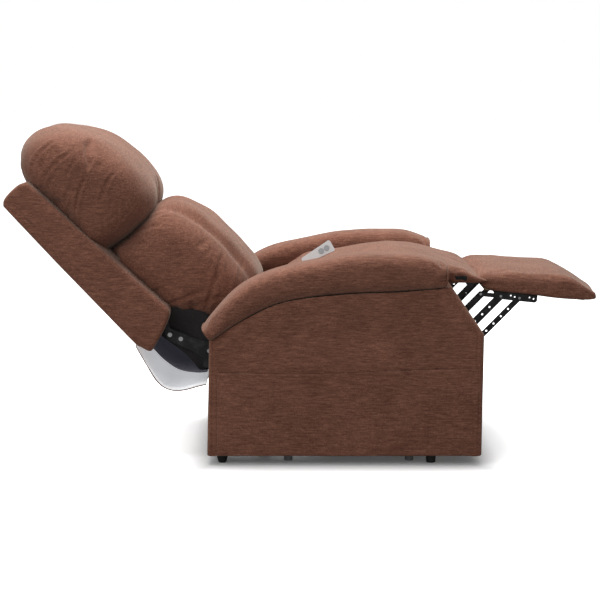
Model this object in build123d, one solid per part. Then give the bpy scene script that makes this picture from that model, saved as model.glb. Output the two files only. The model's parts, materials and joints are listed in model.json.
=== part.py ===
from build123d import *
import math
import os

# Lift recliner chair, millimetres. X runs towards the sitter's feet, Y towards the
# sitter's left and Z up. The origin is on the floor, midway along the side panels.
# The rest pose is the reclined one: back leaning, footrest out and lift frame down.

# ---- driving sizes ---------------------------------------------------------
ARM_OUTER = 400.0          # half width over the side panels
ARM_INNER = 258.0          # half width between the arms
PANEL_REAR = -419.0
PANEL_FRONT = 423.0
PANEL_BOTTOM = 27.0
SEAT_HALF = 250.0          # half width of the seat cushion
BACK_HALF = 298.0          # half width of the back shell
FOOT_HALF = 246.0          # half width of the footrest pad
TUBE = 25.0                # square and round tube size
RIVET = 4.0                # rivet radius in the footrest bars
CLEAR = 0.05               # radial running clearance of a pin

# ---- pivots in the XZ plane ------------------------------------------------
LIFT_PIVOT = (230.0, 95.0)         # lift arm on the base
ARM_TOP = (-120.0, 140.0)          # lift arm on the chassis
LINK_PIVOT = (250.1, 128.7)        # guide link on the base
LINK_TOP = (-35.1, 196.1)          # guide link on the chassis, open pivot
LIFT_MOTOR = (-311.4, 85.7)        # lift actuator on the base
LIFT_HORN = (199.2, 189.4)         # lift actuator on the lift arm, open pivot
SEAT_PIVOT = (-240.0, 300.0)
BACK_PIVOT = (-375.0, 330.0)
BACK_LINK_LOW = (-184.9, 289.7)
BACK_LINK_HIGH = (-419.3, 328.2)   # open pivot
BACK_MOTOR = (88.1, 309.5)         # recline actuator on the seat
BACK_HORN = (-372.6, 244.9)        # recline actuator on the back, open pivot
CRANK_PIVOT = (274.6, 330.3)
FLAP_PIVOT = (285.0, 548.0)
FLAP_BAR_TOP = (396.0, 538.0)

# ---- footrest linkage ------------------------------------------------------
BAR_ANGLE = 46.0
BAR_LENGTH = 205.0
FLAP_BAR_LENGTH = 165.0
FOOT_SLOPE = -6.0
FOOT_REAR = (440.0, 520.0)         # rear edge of the footrest board, underside
FOOT_LENGTH = 340.0
BAR_DROP = 13.0                    # bar pivots below the board
BAR_STATIONS = (-9.5, 53.5, 112.0)
BAR_WIDTHS = (16.0, 23.0, 17.0)
BRACKET_LENGTH = 167.0             # side plate under the board

# ---- back frame ------------------------------------------------------------
BACK_CORNER = (-598.0, 341.0)      # lower rear corner of the shell
BACK_ANGLE = 134.03
BACK_LENGTH = 627.0

# ---- where each moving plate lies, measured from the middle plane ------------
SEAT_PLATE_Y = (228.0, 232.0)
BACK_BRACKET_Y = (236.0, 241.0)
BACK_LINK_Y = (243.0, 247.0)
BAR_Y = (236.0, 240.0)
CRANK_Y = (242.0, 246.0)
FLAP_BAR_Y = (248.0, 251.0)
FLAP_WEB_Y = (252.5, 255.5)
UPRIGHT_Y = (251.0, 256.0)
INNER_UPRIGHT_Y = (220.0, 225.0)
RAIL_Y = (253.0, 278.0)
LIFT_ARM_Y = (284.0, 292.0)
EAR_Y = (294.0, 302.0)
LIFT_LINK_Y = (304.0, 312.0)
BASE_RAIL_Y = (318.0, 342.0)

os.makedirs("parts", exist_ok=True)


# ---- helpers ---------------------------------------------------------------
def save(name, *solids):
    """Write one node from its separate solids."""
    flat = [s for item in solids for s in (item if isinstance(item, list) else [item])]
    bodies = [body for shape in flat for body in shape.solids()]
    export_step(Compound(label=name, children=bodies), f"parts/{name}.step")


def both(*solids):
    """Each solid and its mirror image across the middle plane."""
    return [copy for s in solids for copy in (s, mirror(s, about=Plane.XZ))]


def slab(outline, y_low, y_high):
    """Extrude an outline drawn in XZ between two Y values."""
    return extrude(Plane.XZ.offset(-y_high) * outline, amount=y_high - y_low, dir=(0, -1, 0))


def polygon(points, radius=0.0):
    """A closed outline through the points, with rounded corners."""
    face = make_face(Polyline(*points, close=True))
    return fillet(face.vertices(), radius) if radius else face


def plate(points, y_range, radius=6.0):
    return slab(polygon(points, radius), *y_range)


def direction(angle):
    return (math.cos(math.radians(angle)), math.sin(math.radians(angle)))


def along(start, angle, distance, side=0.0):
    """The point reached from start by going along an angle and to its left."""
    c, s = direction(angle)
    return (start[0] + distance * c - side * s, start[1] + distance * s + side * c)


def bar_outline(start, end, width):
    length = math.dist(start, end)
    angle = math.degrees(math.atan2(end[1] - start[1], end[0] - start[0]))
    middle = ((start[0] + end[0]) / 2, (start[1] + end[1]) / 2)
    return Pos(*middle) * Rot(0, 0, angle) * SlotCenterToCenter(length, width)


def rod_y(point, y_low, y_high, radius):
    """A round bar along Y."""
    return slab(Pos(*point) * Circle(radius), y_low, y_high)


def tube_y(point, y_low, y_high, radius, wall=2.0):
    ring = Pos(*point) * (Circle(radius) - Circle(radius - wall))
    return slab(ring, y_low, y_high)


def hole(point, radius):
    """A through hole along Y, long enough for any plate."""
    return rod_y(point, -ARM_OUTER, ARM_OUTER, radius)


def box(x_range, y_range, z_range):
    size = [high - low for low, high in (x_range, y_range, z_range)]
    centre = [(low + high) / 2 for low, high in (x_range, y_range, z_range)]
    return Pos(*centre) * Box(*size)


def square_tube(start, end, size=TUBE, wall=2.0):
    """A straight square tube between two points."""
    path = Line(start, end)
    upright = (0, 0, 1)
    if abs(path.tangent_at(0).Z) > 0.9:
        upright = (1, 0, 0)
    flat = Plane(origin=start, z_dir=path.tangent_at(0), x_dir=Vector(*upright))
    profile = RectangleRounded(size, size, 3) - RectangleRounded(size - 2 * wall, size - 2 * wall, 1)
    return extrude(flat * profile, amount=path.length)


def soft(outline, half, rounding):
    """A padded solid across the middle plane with rounded side edges."""
    body = slab(outline, -half, half)
    sides = body.faces().filter_by(Axis.Y).edges()
    return fillet(sides, rounding)


# ---- base ------------------------------------------------------------------
REAR_TUBE_X = -374.0
FRONT_TUBE_X = 270.0
BASE_LOW = 26.0
BASE_HIGH = 56.0
OUTRIGGER = 372.0
PIN_RADIUS = 8.0
MOTOR_LUG_Y = (12.0, 17.0)


def base_frame():
    mid_z = (BASE_LOW + BASE_HIGH) / 2
    rail = box((-386, 385), BASE_RAIL_Y, (BASE_LOW, BASE_HIGH))
    bore = box((-384, 383), (BASE_RAIL_Y[0] + 2, BASE_RAIL_Y[1] - 2), (BASE_LOW + 2, BASE_HIGH - 2))
    frame = Part() + both(rail - bore)
    for x in (REAR_TUBE_X, FRONT_TUBE_X):
        frame += square_tube((x, -OUTRIGGER, mid_z - 2.5), (x, OUTRIGGER, mid_z - 2.5))
    ear = plate([(212, 44), (292, 44), (276, 152), (238, 152), (210, 108)], EAR_Y, 8)
    ear -= hole(LIFT_PIVOT, PIN_RADIUS) + hole(LINK_PIVOT, PIN_RADIUS)
    frame += both(ear)
    x, z = LIFT_MOTOR
    lug = plate([(-386, 40), (-350, 40), (x + 15, z - 8), (x + 12, z + 14), (x - 18, z + 14)], MOTOR_LUG_Y)
    lug -= hole(LIFT_MOTOR, PIN_RADIUS)
    saddles = [box((x, x + 20), (150, BASE_RAIL_Y[0] + 1), (26, 29)) for x in (-290, -150)]
    return frame + both(lug) + saddles


def foot(x, y, low_radius, high_radius, height=BASE_LOW):
    """A moulded foot that tapers between its tread and the tube above."""
    body = Pos(x, y, height / 2) * Cone(low_radius, high_radius, height)
    return fillet(body.edges().group_by(Axis.Z)[0], 2)


def base_nodes():
    save("base_frame", base_frame())
    corner = 356.0
    save("rear_feet", both(foot(REAR_TUBE_X, corner, 12, 19)))
    save("front_feet", both(foot(FRONT_TUBE_X, corner, 14, 16)))
    glides = [foot(x, 330, 13, 14) for x in (-171, 205)]
    save("mid_glides", both(*glides))
    arm_pin = rod_y(LIFT_PIVOT, LIFT_ARM_Y[0], EAR_Y[1], PIN_RADIUS)
    link_pin = rod_y(LINK_PIVOT, EAR_Y[0], LIFT_LINK_Y[1], PIN_RADIUS)
    motor_pin = rod_y(LIFT_MOTOR, -MOTOR_LUG_Y[1], MOTOR_LUG_Y[1], PIN_RADIUS)
    save("base_pins", both(arm_pin, link_pin), motor_pin)
    supply = box((-300, -120), (150, 225), (29, 66))
    save("power_supply", fillet(supply.edges().filter_by(Axis.Z), 8))
    drop = ((-304, 190, 50), (-326, 178, 46), (-338, 140, 30))
    tail = ((-330, 60, 6), (-300, 40, 5), (-262, 60, 5))
    route = Spline(*drop, *tail)
    save("mains_cable", sweep(Plane(route @ 0, z_dir=route % 0) * Circle(3.2), path=route))


# ---- lift linkage ----------------------------------------------------------
TORQUE_TUBE = 14.0
HORN_Y = (11.0, 16.0)
HORN_SLOT = 9.5


def lift_arms():
    arm = slab(bar_outline(LIFT_PIVOT, ARM_TOP, 40), *LIFT_ARM_Y)
    arm -= hole(LIFT_PIVOT, PIN_RADIUS + CLEAR) + hole(ARM_TOP, PIN_RADIUS + CLEAR)
    tube = tube_y(LIFT_PIVOT, -LIFT_ARM_Y[0], LIFT_ARM_Y[0], TORQUE_TUBE, 3)
    toward = math.degrees(math.atan2(LIFT_PIVOT[1] - LIFT_HORN[1], LIFT_PIVOT[0] - LIFT_HORN[0]))
    slot_end = along(LIFT_HORN, toward, HORN_SLOT)
    horn = slab(bar_outline(LIFT_PIVOT, LIFT_HORN, 42), *HORN_Y)
    horn -= slab(bar_outline(LIFT_HORN, slot_end, 2 * PIN_RADIUS + 2), 0, ARM_OUTER)
    horn -= hole(LIFT_PIVOT, TORQUE_TUBE - 1)
    return Part() + tube + both(arm, horn)


def lift_links():
    link = slab(bar_outline(LINK_PIVOT, LINK_TOP, 34), *LIFT_LINK_Y)
    link -= hole(LINK_PIVOT, PIN_RADIUS + CLEAR) + hole(LINK_TOP, PIN_RADIUS + 3.2)
    return both(link)


def actuator(start, end, body_share, housing_radius):
    """Motor housing, outer tube and rod of a linear actuator between two pivots."""
    length = math.dist(start, end)
    unit = Vector(end[0] - start[0], 0, end[1] - start[1]).normalized()
    base = Plane(origin=(start[0], 0, start[1]), x_dir=(0, 1, 0), z_dir=unit)
    tube_end = length * body_share
    eye_out = 30.0
    eye = rod_y(start, -10, 10, 14)
    neck = extrude(base.offset(10) * Rectangle(18, 20), amount=eye_out)
    housing = extrude(base.offset(eye_out) * RectangleRounded(2 * housing_radius, 66, 12), amount=92)
    side = base.offset(eye_out + 46)
    drum = extrude(Plane(side.origin, x_dir=unit, z_dir=(0, 1, 0)) * Circle(housing_radius + 4), amount=88)
    housing = housing + neck + drum + eye - hole(start, PIN_RADIUS + CLEAR)
    tube_start = eye_out + 92
    bore = 13.0
    sleeve = base.offset(tube_start) * (Circle(19) - Circle(bore))
    tube = extrude(sleeve, amount=tube_end - tube_start)
    rod = extrude(base.offset(tube_start + 2) * Circle(bore - 2), amount=length - tube_start - 12)
    rod_eye = rod_y(end, -9, 9, 13)
    rod_pin = rod_y(end, -20, 20, PIN_RADIUS)
    return housing, tube, rod + rod_eye + rod_pin


def lift_nodes():
    save("lift_arms", lift_arms())
    save("lift_links", lift_links())
    housing, tube, rod = actuator(LIFT_MOTOR, LIFT_HORN, 0.66, 26)
    save("lift_motor_housing", housing)
    save("lift_motor_tube", tube)
    save("lift_rod", rod)


# ---- chassis ---------------------------------------------------------------
RAIL_LOW = 165.0
RAIL_HIGH = 200.0
CROSS_X = -240.0
FRONT_CROSS = (150.0, 222.0)


def lift_frame():
    rail = box((-335, 330), RAIL_Y, (RAIL_LOW, RAIL_HIGH))
    bore = box((-333, 328), (RAIL_Y[0] + 2, RAIL_Y[1] - 2), (RAIL_LOW + 2, RAIL_HIGH - 2))
    frame = Part() + both(rail - bore)
    cross_z = (RAIL_LOW + RAIL_HIGH) / 2
    frame += square_tube((CROSS_X, -RAIL_Y[0], cross_z), (CROSS_X, RAIL_Y[0], cross_z))
    x, z = FRONT_CROSS
    frame += square_tube((x, -UPRIGHT_Y[0], z), (x, UPRIGHT_Y[0], z))
    riser = plate([(x - 25, 168), (x + 25, 168), (x + 22, z + 20), (x - 22, z + 20)], UPRIGHT_Y)
    x, z = ARM_TOP
    hanger = plate([(x - 60, 190), (x + 60, 190), (x + 22, z - 20), (x - 22, z - 20)], (272, 278))
    hanger -= hole(ARM_TOP, PIN_RADIUS)
    x, z = SEAT_PIVOT
    inner = plate([(x - 22, 176), (x + 22, 176), (x + 17, z + 16), (x - 17, z + 16)], INNER_UPRIGHT_Y)
    inner -= hole(SEAT_PIVOT, PIN_RADIUS)
    x, z = BACK_LINK_LOW
    upright = plate([(x - 60, 170), (x + 60, 170), (x + 17, z + 16), (x - 17, z + 16)], UPRIGHT_Y)
    upright -= hole(BACK_LINK_LOW, PIN_RADIUS)
    return frame + both(riser, hanger, inner, upright)


def chassis_pins():
    arm_pin = rod_y(ARM_TOP, 272, LIFT_ARM_Y[1], PIN_RADIUS)
    link_pin = rod_y(LINK_TOP, RAIL_Y[1], LIFT_LINK_Y[1], PIN_RADIUS)
    seat_pin = rod_y(SEAT_PIVOT, INNER_UPRIGHT_Y[0], SEAT_PLATE_Y[1], PIN_RADIUS)
    back_pin = rod_y(BACK_LINK_LOW, BACK_LINK_Y[0], UPRIGHT_Y[1], PIN_RADIUS)
    return both(arm_pin, link_pin, seat_pin, back_pin)


# ---- arms ------------------------------------------------------------------
ARM_SEAM = [(-399, 384), (-224, 485), (16, 524), (301, 542)]
ARM_CREST = [(-431, 426), (-332, 534), (-180, 604), (54, 645), (231, 639), (313, 614)]
REAR_TOP = (-410, 384)
CHAMFER_LOW = (425, 405)           # where the front edge leans back
CHAMFER_HIGH = (322, 552)
BOARD = 12.0
FABRIC = 5.0
ARM_PANEL_LOW = 215.0


def edge_x(low, high, z):
    """X on the straight line between two outline points at height z."""
    return low[0] + (high[0] - low[0]) * (z - low[1]) / (high[1] - low[1])


def side_outline(inset, bottom, drop):
    """Side view of an arm below its pad: inset all round, open downward."""
    seam = Spline(*[(x, z - drop) for x, z in ARM_SEAM])
    front_foot = (PANEL_FRONT, PANEL_BOTTOM)
    rear_foot = (PANEL_REAR, PANEL_BOTTOM)
    rear_z = ARM_SEAM[0][1] - drop
    points = [(edge_x(rear_foot, REAR_TOP, rear_z) + inset, rear_z)]
    points.append((edge_x(rear_foot, REAR_TOP, bottom) + inset, bottom))
    points.append((edge_x(front_foot, CHAMFER_LOW, bottom) - inset, bottom))
    points.append((CHAMFER_LOW[0] - inset, CHAMFER_LOW[1]))
    points.append((CHAMFER_HIGH[0] - inset, CHAMFER_HIGH[1] - drop))
    return make_face(Curve() + [seam, Polyline(seam @ 0, *points, seam @ 1)])


def arm_frame():
    """Boards inside one arm: inner and outer panels joined by posts and a top rail."""
    outer = slab(side_outline(FABRIC + 2, 60, 22), ARM_OUTER - FABRIC - BOARD, ARM_OUTER - FABRIC)
    inner = slab(side_outline(FABRIC + 2, ARM_PANEL_LOW, 22), ARM_INNER + 4, ARM_INNER + 16)
    gap = (ARM_INNER + 14, ARM_OUTER - FABRIC - BOARD + 2)
    posts = box((370, 402), gap, (ARM_PANEL_LOW, 395)) + box((-400, -370), gap, (ARM_PANEL_LOW, 355))
    top_rail = box((-180, 290), gap, (452, 470))
    return Part() + outer + inner + posts + top_rail


def side_cover():
    """Upholstered outer skin of one arm, wrapping its front and rear edges."""
    whole = slab(side_outline(0, PANEL_BOTTOM, 4), ARM_INNER, ARM_OUTER)
    cavity = slab(side_outline(FABRIC, PANEL_BOTTOM - 20, 2), ARM_INNER - 5, ARM_OUTER - FABRIC)
    return whole - cavity


def inner_cover():
    return slab(side_outline(FABRIC + 3, ARM_PANEL_LOW, 6), ARM_INNER, ARM_INNER + 3.5)


def arm_pad():
    seam = Spline(*ARM_SEAM)
    crest = Spline(*ARM_CREST)
    nose = ThreePointArc(crest @ 1, (322, 580), seam @ 1)
    tail = Line(seam @ 0, crest @ 0)
    outline = make_face(Curve() + [seam, nose, crest, tail])
    body = slab(outline, ARM_INNER - 2, ARM_OUTER + 24)
    return body


def side_pocket():
    """Open magazine pocket sewn on the outside of one arm."""
    sheet = box((-371, 397), (ARM_OUTER, ARM_OUTER + 2.5), (40, 290))
    return fillet(sheet.edges().filter_by(Axis.Y), 6)


def arm_nodes():
    for side, name in ((-1, "right"), (1, "left")):
        pieces = {
            "arm_frame": arm_frame(),
            "side_cover": side_cover(),
            "inner_cover": inner_cover(),
            "arm_pad": arm_pad(),
        }
        for piece, shape in pieces.items():
            save(f"{name}_{piece}", shape if side > 0 else mirror(shape, about=Plane.XZ))
    save("side_pocket", mirror(side_pocket(), about=Plane.XZ))
    save("rear_apron", box((-412, -405), (-ARM_INNER + 1, ARM_INNER - 1), (60, 235)))
    brackets = [box((x, x + 40), (RAIL_Y[1], 281), (186, 200)) for x in (-300, 60, 270)]
    bolts = [slab(Pos(x + 20, 193) * RegularPolygon(7, 6), 281, 283.5) for x in (-300, 60, 270)]
    save("frame_bolts", both(*[b + p for b, p in zip(bolts, brackets)]))


# ---- seat ------------------------------------------------------------------
SEAT_SLOPE = math.degrees(math.atan(0.249))
SEAT_DATUM = (0.0, 460.0)          # on the underside of the cushion
SEAT_REAR = -185.0
RAIL_THICK = 19.0
WIRE = 1.9                         # radius of a spring wire


def seat_line(x, drop=0.0):
    """Height of the cushion underside at x, lowered by drop."""
    return SEAT_DATUM[1] + math.tan(math.radians(SEAT_SLOPE)) * x - drop


def seat_rail(rear, front, y_range):
    """A rail that follows the slope of the cushion underside between two X values."""
    low, high = 46.0, 8.0
    corners = ((rear, low), (front, low), (front, high), (rear, high))
    return plate([(x, seat_line(x, drop)) for x, drop in corners], y_range, 0)


def seat_frame():
    """Hardwood rails round the seat springs."""
    rear, front = SEAT_REAR, 282.0
    inner = SEAT_PLATE_Y[0] - RAIL_THICK
    frame = Part() + both(seat_rail(rear, front, (inner, SEAT_PLATE_Y[0])))
    for x in (rear, front - RAIL_THICK):
        frame += seat_rail(x, x + RAIL_THICK, (-inner, inner))
    return frame


def zigzag_spring(length, pitch, half_width, wire):
    """A sinuous spring lying in XY, from x = 0 to x = length."""
    count = int(length / pitch)
    path = Curve()
    for i in range(count):
        sign = 1 if i % 2 == 0 else -1
        x = i * pitch
        path += Line((x, -sign * half_width), (x, sign * half_width))
        if i < count - 1:
            middle = (x + pitch / 2, sign * (half_width + pitch / 2))
            path += ThreePointArc((x, sign * half_width), middle, (x + pitch, sign * half_width))
    start = Plane(path @ 0, z_dir=path % 0)
    return sweep(start * Circle(wire), path=path.wire())


def seat_springs():
    spring = zigzag_spring(430, 26, 16, WIRE)
    run, rise = direction(SEAT_SLOPE)
    x = SEAT_REAR + 28
    tilt = Plane(origin=(x, 0, seat_line(x, 4)), x_dir=(run, 0, rise), z_dir=(-rise, 0, run))
    return [tilt * Pos(0, y, 0) * spring for y in (-150, -75, 0, 75, 150)]


def seat_side_plates():
    x, z = CRANK_PIVOT
    upper = [(-392, 320), (-388, 347), (-250, 372), (SEAT_REAR, 404), (60, 464), (204, 500), (262, 514)]
    flap_lug = [(279, 532), (278, 552), (286, 559), (295, 550), (290, 528), (250, 494), (212, 462)]
    crank_lug = [(268, 346), (x + 15, z + 8), (x + 8, z - 15)]
    lower = [(190, 315), (70, 292), (-60, 290), (-240, 283), (-370, 314)]
    body = plate(upper + flap_lug + crank_lug + lower, SEAT_PLATE_Y, 4)
    for point in (SEAT_PIVOT, BACK_PIVOT, CRANK_PIVOT, FLAP_PIVOT):
        radius = PIN_RADIUS + CLEAR if point is SEAT_PIVOT else 6.0
        body -= hole(point, 4.0 if point is FLAP_PIVOT else radius)
    return both(body)


def seat_cross():
    """Tube across the seat with the recline actuator's lugs."""
    centre = (BACK_MOTOR[0] + 34, BACK_MOTOR[1] + 4)
    tube = tube_y(centre, -SEAT_PLATE_Y[0], SEAT_PLATE_Y[0], 14)
    lug = slab(bar_outline(centre, BACK_MOTOR, 32), *MOTOR_LUG_Y)
    lug -= hole(BACK_MOTOR, PIN_RADIUS) + hole(centre, 13)
    return Part() + tube + both(lug)


def seat_pins():
    back = rod_y(BACK_PIVOT, SEAT_PLATE_Y[0], BACK_BRACKET_Y[1], 6)
    crank = rod_y(CRANK_PIVOT, SEAT_PLATE_Y[0], CRANK_Y[1], 6)
    flap = rod_y(FLAP_PIVOT, SEAT_PLATE_Y[0], FLAP_WEB_Y[1], 4)
    motor = rod_y(BACK_MOTOR, -MOTOR_LUG_Y[1], MOTOR_LUG_Y[1], PIN_RADIUS)
    return both(back, crank, flap) + [motor]


def seat_cushion():
    top = Spline((SEAT_REAR, 562), (0, 600), (127, 622), (200, 624), (268, 613))
    front, lift = 276, -4
    corners = [(x, seat_line(x, lift)) for x in (front, SEAT_REAR)]
    under = Polyline(top @ 1, *corners, top @ 0)
    return soft(make_face(Curve() + [top, under]), SEAT_HALF, 22)


def seat_nodes():
    save("seat_frame", seat_frame())
    save("seat_springs", seat_springs())
    save("seat_cushion", seat_cushion())
    save("seat_side_plates", Part() + seat_side_plates() + seat_cross())
    save("seat_pins", seat_pins())


# ---- back ------------------------------------------------------------------
def back(s, t):
    """A point of the back: s up the shell from its lower rear corner, t forward."""
    return along(BACK_CORNER, BACK_ANGLE, s, -t)


def back_plane(t, y=0.0):
    """Plane parallel to the shell at depth t, with x up the back."""
    x, z = back(0, t)
    up = direction(BACK_ANGLE)
    return Plane(origin=(x, y, z), x_dir=(up[0], 0, up[1]), z_dir=(up[1], 0, -up[0]))


SHELL_WALL = 5.0
SHELL_TOP = BACK_LENGTH + 12.0
SHELL_REAR = -17.0                 # depth of the rear face at its lower edge
BACK_FRAME_T = (22.0, 62.0)


def back_polygon(points, radius=0.0):
    return polygon([back(s, t) for s, t in points], radius)


def back_block(s_range, t_range, y_range):
    """A square-cornered block inside the back."""
    (low, high), (rear, front) = s_range, t_range
    return slab(back_polygon([(low, rear), (high, rear), (high, front), (low, front)]), *y_range)


def back_shell():
    """Outer back and sides of the backrest, open towards the sitter and at the bottom."""
    rear, taper = SHELL_REAR, 6
    outline = [(0, 4), (34, rear), (SHELL_TOP, rear + taper), (SHELL_TOP + 4, 92), (42, 125)]
    lid, lining, half = (size - SHELL_WALL for size in (SHELL_TOP, -rear, BACK_HALF))
    cavity = back_polygon([(-30, -lining), (lid, taper - lining), (lid, 180), (-30, 180)])
    return slab(back_polygon(outline, 12), -BACK_HALF, BACK_HALF) - slab(cavity, -half, half)


def back_frame():
    """Hardwood uprights and rails inside the shell."""
    rear, front = BACK_FRAME_T
    half = BACK_HALF - SHELL_WALL - 3
    inner = half - 20
    frame = Part() + both(back_block((20, 600), (rear, front), (inner, half)))
    for s in (20, 300, 578):
        frame += back_block((s, s + 22), (rear + 14, front), (-inner, inner))
    return frame


def back_springs():
    spring = zigzag_spring(520, 40, 20, WIRE)
    front = BACK_FRAME_T[1] + 3
    return [back_plane(front, y) * Pos(50, 0, 0) * spring for y in (-140, -70, 0, 70, 140)]


def headrest_cushion():
    outline = back_polygon([(306, 112), (306, 322), (424, 380), (600, 346), (722, 230), (706, 112)], 44)
    return soft(outline, 280, 26)


def lumbar_cushion():
    upper = [back(s, t) for s, t in ((20, 134), (296, 134), (292, 318), (215, 392), (110, 406))]
    lower = [(-288, 560), (-308, 484), (-380, 440)]
    return soft(polygon(upper + lower, 22), SEAT_HALF - 4, 22)


def back_brackets():
    upper = [(-374, 312), (-357, 326), (-364, 346), (-453, 364), (-541, 399), (-548, 450), (-596, 444)]
    lower = [(-578, 420), (-561, 400), (-550, 362), (-470, 326)]
    tube_lug = [(-438, 304), (-438, 276), (-412, 270), (-398, 292)]
    body = plate(upper + lower + tube_lug, BACK_BRACKET_Y, 5)
    body -= hole(BACK_PIVOT, 6 + CLEAR) + hole(BACK_LINK_HIGH, 6)
    return both(body)


BACK_TUBE = (-420.0, 287.0)


def back_cross():
    tube = tube_y(BACK_TUBE, -BACK_BRACKET_Y[0], BACK_BRACKET_Y[0], 13)
    lug = slab(bar_outline(BACK_TUBE, BACK_HORN, 30), *MOTOR_LUG_Y)
    lug -= hole(BACK_TUBE, 12) + hole(BACK_HORN, PIN_RADIUS + 2.2)
    return Part() + tube + both(lug)


def back_links():
    link = slab(bar_outline(BACK_LINK_LOW, BACK_LINK_HIGH, 28), *BACK_LINK_Y)
    return both(link - hole(BACK_LINK_LOW, PIN_RADIUS + CLEAR) - hole(BACK_LINK_HIGH, 6 + 1.6))


def back_pins():
    """Link pins and the round-head bolts that hold the brackets to the back."""
    pins = [rod_y(BACK_LINK_HIGH, BACK_BRACKET_Y[0], BACK_LINK_Y[1], 6)]
    for point in ((-566, 432), (-541, 379), (-507, 366)):
        pins.append(rod_y(point, BACK_BRACKET_Y[1], BACK_BRACKET_Y[1] + 4, 7))
    return both(*pins)


def bracket_blocks():
    """Timber blocks that carry the brackets between the back frame posts."""
    return both(back_block((44, 150), (64, 118), (204, BACK_BRACKET_Y[0])))


def rear_flap():
    """Fabric tail that hangs from the back shell down behind the seat."""
    path = Spline((-632, 346), (-604, 300), (-570, 252), (-516, 226), (-462, 228), (-430, 240))
    return slab(trace(path, 2.5), -BACK_HALF + 12, BACK_HALF - 12)


def back_nodes():
    save("back_shell", back_shell())
    save("back_frame", back_frame() + bracket_blocks())
    save("back_springs", back_springs())
    save("headrest_cushion", headrest_cushion())
    save("lumbar_cushion", lumbar_cushion())
    save("back_brackets", Part() + back_brackets() + back_cross())
    save("back_pins", back_pins())
    save("back_links", back_links())
    save("rear_flap", rear_flap())
    housing, tube, rod = actuator(BACK_MOTOR, BACK_HORN, 0.74, 24)
    save("recline_motor_housing", housing)
    save("recline_motor_tube", tube)
    save("recline_rod", rod)


# ---- footrest --------------------------------------------------------------
def foot_point(u, v):
    """A point of the footrest: u forward from its rear edge, v up from its underside."""
    return along(FOOT_REAR, FOOT_SLOPE, u, v)


BAR_TOPS = [foot_point(u, -BAR_DROP) for u in BAR_STATIONS]
BAR_FEET = [along(top, BAR_ANGLE, -BAR_LENGTH) for top in BAR_TOPS]
FLAP_BAR_FOOT = along(FLAP_BAR_TOP, BAR_ANGLE, -FLAP_BAR_LENGTH)


def linkage_bar(foot_end, top_end, width):
    """One parallel bar with its rivet holes and the lightening holes between them."""
    body = slab(bar_outline(foot_end, top_end, width), *BAR_Y)
    body -= hole(foot_end, RIVET + CLEAR) + hole(top_end, RIVET + CLEAR)
    for distance in (60, 92, 124, 156):
        body -= hole(along(foot_end, BAR_ANGLE, distance), 3.2)
    return body


def flap_links():
    """Bars that carry the seat flap, each with a long slot at its lower end."""
    body = slab(bar_outline(FLAP_BAR_FOOT, FLAP_BAR_TOP, 15), *FLAP_BAR_Y)
    eye = [along(FLAP_BAR_TOP, BAR_ANGLE, -d, -2.3) for d in (165.5, 141.0)]
    body += slab(bar_outline(eye[0], eye[1], 30), *FLAP_BAR_Y)
    body -= slab(bar_outline(eye[0], eye[1], 19), 0, ARM_OUTER)
    body -= hole(FLAP_BAR_TOP, RIVET + CLEAR)
    for distance in (34, 66, 98):
        body -= hole(along(FLAP_BAR_TOP, BAR_ANGLE, -distance), 3.2)
    return both(body)


def footrest_cranks():
    rear, main, front = BAR_FEET
    web = slab(bar_outline(CRANK_PIVOT, main, 30), *CRANK_Y)
    web += slab(bar_outline(CRANK_PIVOT, rear, 30), *CRANK_Y)
    web += slab(bar_outline(rear, FLAP_BAR_FOOT, 22), *CRANK_Y)
    web += slab(bar_outline(main, front, 22), *CRANK_Y)
    web -= hole(CRANK_PIVOT, 6 + CLEAR)
    for point in BAR_FEET + [FLAP_BAR_FOOT]:
        web -= hole(point, RIVET)
    return both(web)


def crank_pins():
    rivets = [rod_y(point, BAR_Y[0], CRANK_Y[1], RIVET) for point in BAR_FEET]
    rivets.append(rod_y(FLAP_BAR_FOOT, CRANK_Y[0], FLAP_BAR_Y[1], RIVET))
    return both(*rivets)


def footrest_brackets():
    """Side plates under the footrest board, with one ear for each bar."""
    first = foot_point(BAR_STATIONS[0], -BAR_DROP)
    middle = foot_point(BAR_STATIONS[1] - 4, -BAR_DROP)
    last = foot_point(BRACKET_LENGTH - 9, -BAR_DROP)
    web = slab(bar_outline(first, middle, 13), *CRANK_Y) + slab(bar_outline(middle, last, 19), *CRANK_Y)
    top, foot_end = -0.5, 30
    skirt = ((foot_end, -BAR_DROP), (BRACKET_LENGTH, -BAR_DROP), (BRACKET_LENGTH, top), (foot_end, top))
    web += plate([foot_point(u, v) for u, v in skirt], CRANK_Y, 0)
    for point in BAR_TOPS:
        web -= hole(point, RIVET)
    for u, v in ((84, -8), (97, -11), (143, -8), (156, -11)):
        web -= hole(foot_point(u, v), 2.6)
    sheet = ((foot_end, -3.5), (BRACKET_LENGTH, -3.5), (BRACKET_LENGTH, top), (foot_end, top))
    flange = plate([foot_point(u, v) for u, v in sheet], (206, CRANK_Y[1]), 0)
    for point, width in zip(BAR_TOPS, BAR_WIDTHS):
        flange -= rod_y(point, BAR_Y[0] - 1, BAR_Y[1] + 1, width / 2 + 1)
    return both(web + flange)


def footrest_pins():
    return both(*[rod_y(point, BAR_Y[0], CRANK_Y[1], RIVET) for point in BAR_TOPS])


def footrest_board():
    corners = ((2, 0), (FOOT_LENGTH - 24, 0), (FOOT_LENGTH - 24, 15), (2, 15))
    return soft(polygon([foot_point(u, v) for u, v in corners]), FOOT_HALF - 8, 3)


def footrest_pad():
    points = [(4, 16), (36, 50), (40, 68), (130, 78), (215, 80), (262, 66), (318, 34), (338, 16)]
    return soft(polygon([foot_point(u, v) for u, v in points], 5), FOOT_HALF, 4)


def flap_board():
    return box((292, 378), (-SEAT_HALF + 16, SEAT_HALF - 16), (566, 574))


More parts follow.
